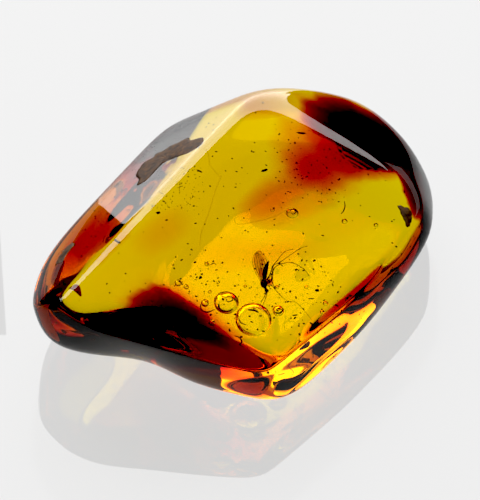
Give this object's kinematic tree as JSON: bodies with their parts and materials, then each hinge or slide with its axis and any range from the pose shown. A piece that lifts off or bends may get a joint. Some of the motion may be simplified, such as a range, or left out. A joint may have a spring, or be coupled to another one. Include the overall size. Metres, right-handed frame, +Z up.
{
  "type": "gnat in amber",
  "caption": "Flat polished amber pebble with a broad clear window face and bevelled rim, holding a sealed gnat; a fossil specimen that rests on the flat of its underside.",
  "frame": {"origin": "on the flat of the underside, under the middle of the stone", "axes": "+Z up, square to the resting flat; +X along the stone's long way; the bright bevel looks to +X and -Y"},
  "size_m": [0.0341, 0.0319, 0.0101],
  "materials": {
    "amber": "polished clear yellow amber, going to red brown in its thick and cloudy parts",
    "gnat": "dark brown dried insect"
  },
  "bodies": {
    "root": {"amber_lower_half": "amber", "amber_upper_half": "amber", "gnat": "gnat"}
  },
  "joints": []
}
